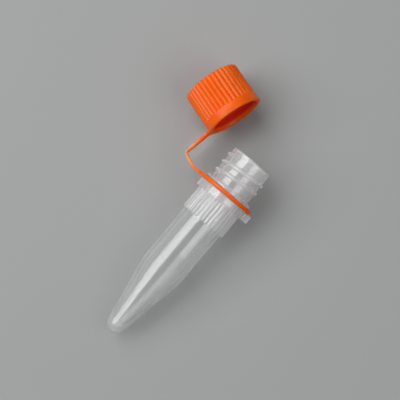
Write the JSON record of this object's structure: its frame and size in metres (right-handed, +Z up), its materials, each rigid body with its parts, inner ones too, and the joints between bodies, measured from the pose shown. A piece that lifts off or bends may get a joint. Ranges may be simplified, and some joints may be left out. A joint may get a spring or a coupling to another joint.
{
  "type": "microcentrifuge tube",
  "caption": "Conical-bottom screw-cap microtube lying open, with a ribbed cap held by a loop strap round the neck.",
  "frame": {"origin": "on the surface the tube lies on, under the middle of the whole object's box", "axes": "+X along the lying tube towards its mouth, +Y towards the strap and cap, +Z up"},
  "size_m": [0.058, 0.0264, 0.0131],
  "materials": {
    "tube_plastic": "translucent natural polypropylene, satin",
    "cap_plastic": "orange moulded polypropylene, satin gloss",
    "seal_rubber": "smooth silicone rubber"
  },
  "bodies": {
    "tube": {"tube": "tube_plastic"},
    "ring": {"neck_ring": "cap_plastic"},
    "strap_near": {"strap_inner": "cap_plastic"},
    "strap_far": {"strap_outer": "cap_plastic"},
    "cap": {"cap": "cap_plastic", "seal_ring": "seal_rubber"}
  },
  "joints": [
    {"name": "ring_spin", "type": "hinge", "parent": "tube", "child": "ring", "pos_m": [0.00731, -0.00602, 0.00656], "axis": [0.9958, 0, 0.0917], "continuous": true},
    {"name": "ring_flex", "type": "hinge", "parent": "ring", "child": "strap_near", "pos_m": [0.00739, 0.00184, 0.00568], "axis": [0.0911, -0.1119, -0.9895], "range_deg": [-35, 54.9], "stiffness_Nm_per_rad": 0.004},
    {"name": "elbow_flex", "type": "hinge", "parent": "strap_near", "child": "strap_far", "pos_m": [0.00871, 0.00576, 0.00536], "axis": [0.0911, -0.1119, -0.9895], "range_deg": [-42.1, 27], "stiffness_Nm_per_rad": 0.004},
    {"name": "cap_flex", "type": "hinge", "parent": "strap_far", "child": "cap", "pos_m": [0.01401, 0.00492, 0.00594], "axis": [0.0911, -0.1119, -0.9895], "range_deg": [-39.2, 61.2], "stiffness_Nm_per_rad": 0.004}
  ],
  "couplings": [
    {"joint": "elbow_flex", "follows": "ring_flex", "ratio": -0.765},
    {"joint": "cap_flex", "follows": "ring_flex", "ratio": 1.113}
  ]
}
